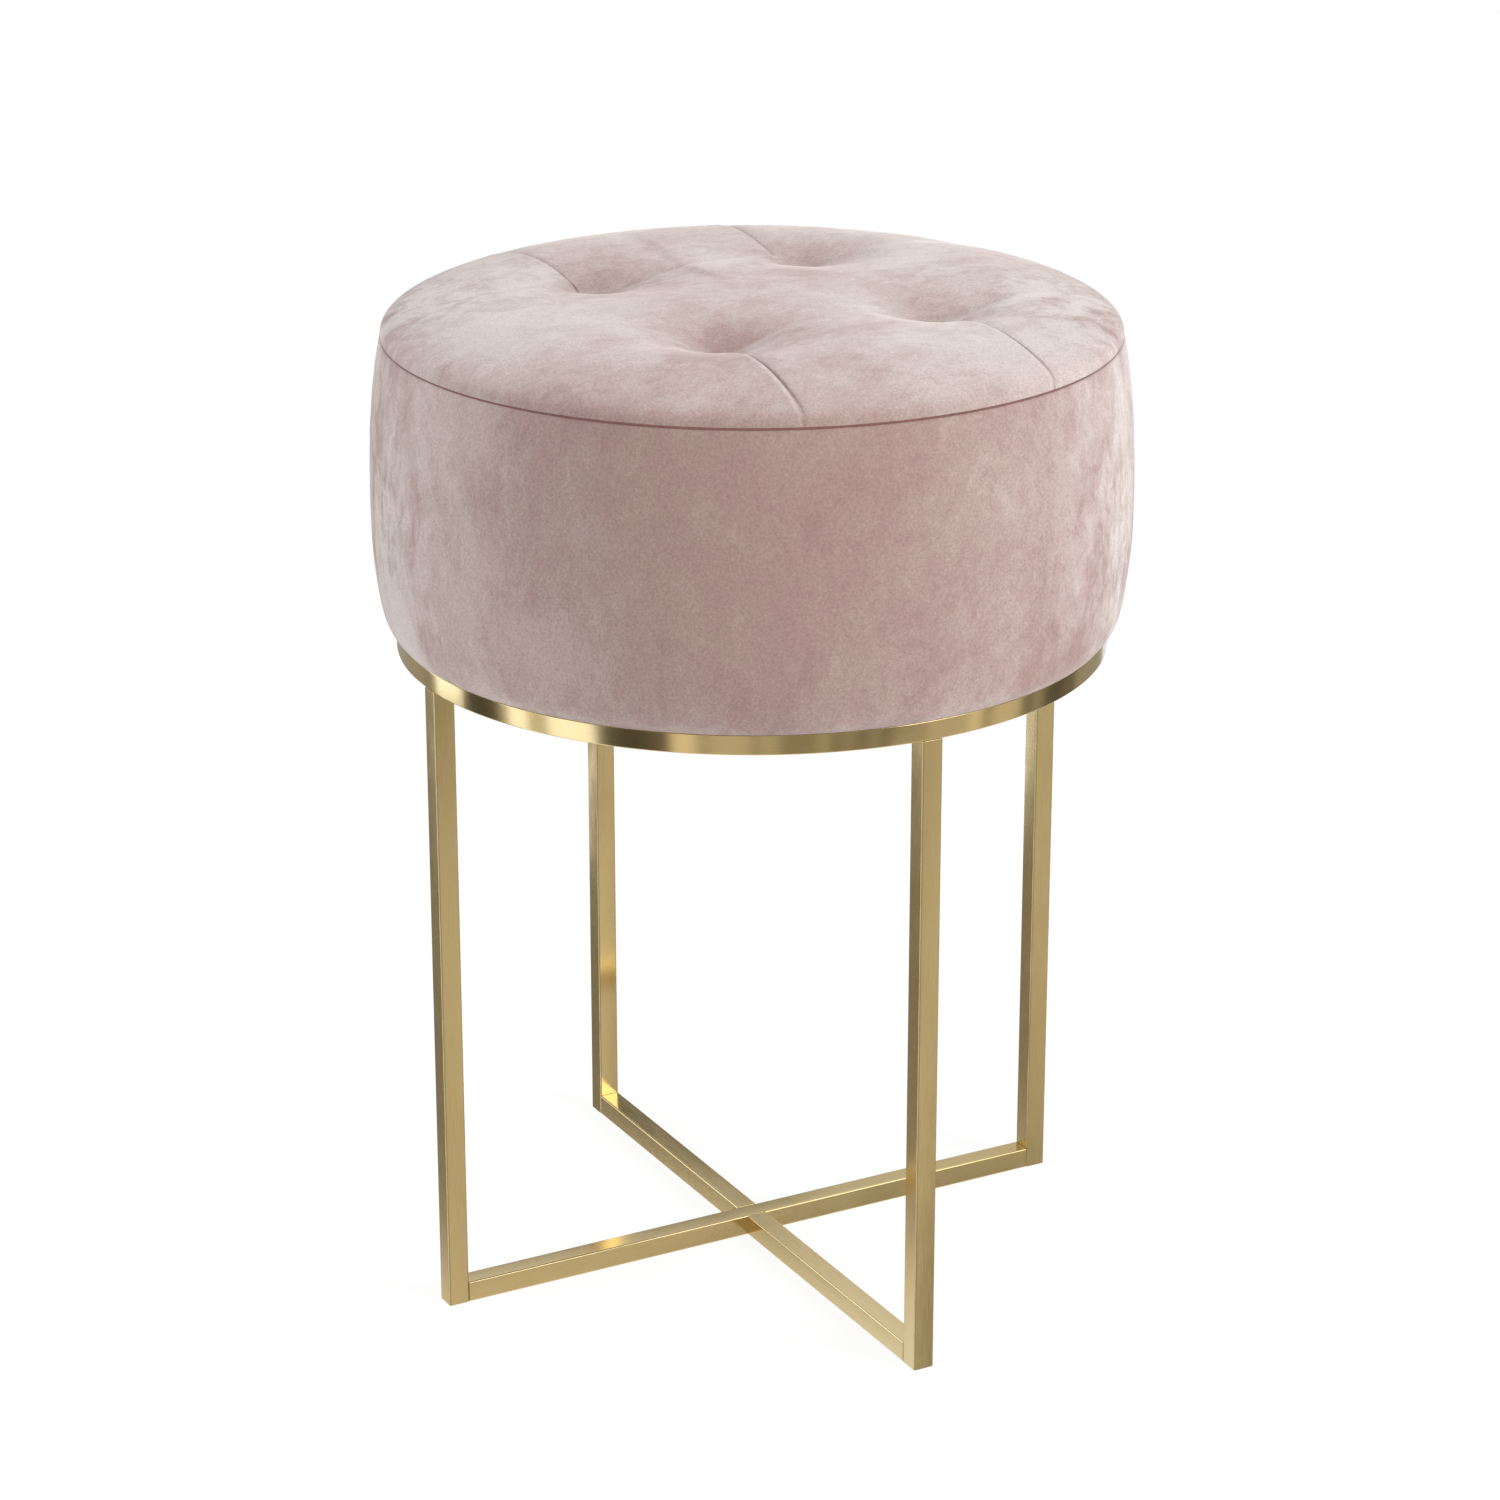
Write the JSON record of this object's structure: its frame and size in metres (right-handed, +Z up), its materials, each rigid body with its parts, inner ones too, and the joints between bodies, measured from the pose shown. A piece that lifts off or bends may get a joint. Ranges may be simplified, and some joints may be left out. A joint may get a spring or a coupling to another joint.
{
  "type": "round upholstered stool",
  "caption": "Round tufted velvet drum seat on a welded square-tube frame with a flat X base; for sitting at a dressing table or resting feet.",
  "frame": {"origin": "on the floor, midway between the legs, at the middle of the underside of the long base bar", "axes": "+Z up along the stool's axis; +X along the base bar that runs whole, +Y along the bar in two halves, and the two pleats of each tuft pair run along Y"},
  "size_m": [0.3442, 0.3442, 0.465],
  "materials": {
    "brass": "steel tube and band, brushed and plated in brushed brass colour, lacquered",
    "zinc": "bright zinc plating on steel fasteners",
    "plug_plastic": "black moulded polyethylene",
    "disc_plastic": "dark moulded plastic washer",
    "velvet": "dusty pink polyester velvet with a short pile",
    "foam": "pale open-cell polyurethane foam",
    "plywood": "unfinished birch plywood",
    "pine": "planed pine",
    "hardboard": "thin brown hardboard, bent round the boards",
    "cambric": "black non-woven cambric",
    "twine": "waxed tufting twine"
  },
  "bodies": {
    "root": {"seat_ring": "brass", "base_bar_long": "brass", "base_bar_front": "brass", "base_bar_back": "brass", "leg_right": "brass", "leg_back": "brass", "leg_left": "brass", "leg_front": "brass", "seat_tab_right": "brass", "seat_tab_back": "brass", "seat_tab_left": "brass", "seat_tab_front": "brass", "seat_bolt_right": "zinc", "seat_bolt_back": "zinc", "seat_bolt_left": "zinc", "seat_bolt_front": "zinc", "seat_washer_right": "zinc", "seat_washer_back": "zinc", "seat_washer_left": "zinc", "seat_washer_front": "zinc", "tee_nut_right": "zinc", "tee_nut_back": "zinc", "tee_nut_left": "zinc", "tee_nut_front": "zinc", "lower_screw_back_right": "zinc", "lower_screw_back_left": "zinc", "lower_screw_front_left": "zinc", "lower_screw_front_right": "zinc", "upper_screw_back_right": "zinc", "upper_screw_back_left": "zinc", "upper_screw_front_left": "zinc", "upper_screw_front_right": "zinc", "leg_plug_right": "plug_plastic", "leg_plug_back": "plug_plastic", "leg_plug_left": "plug_plastic", "leg_plug_front": "plug_plastic", "tuft_anchor_back_right": "disc_plastic", "tuft_anchor_back_left": "disc_plastic", "tuft_anchor_front_left": "disc_plastic", "tuft_anchor_front_right": "disc_plastic", "side_cover": "velvet", "top_cover": "velvet", "side_foam": "foam", "top_foam": "foam", "base_board": "plywood", "top_board": "plywood", "seat_post_back_right": "pine", "seat_post_back_left": "pine", "seat_post_front_left": "pine", "seat_post_front_right": "pine", "drum_wall": "hardboard", "dust_cover": "cambric", "tuft_tie_back_right": "twine", "tuft_tie_back_left": "twine", "tuft_tie_front_left": "twine", "tuft_tie_front_right": "twine"}
  },
  "joints": []
}
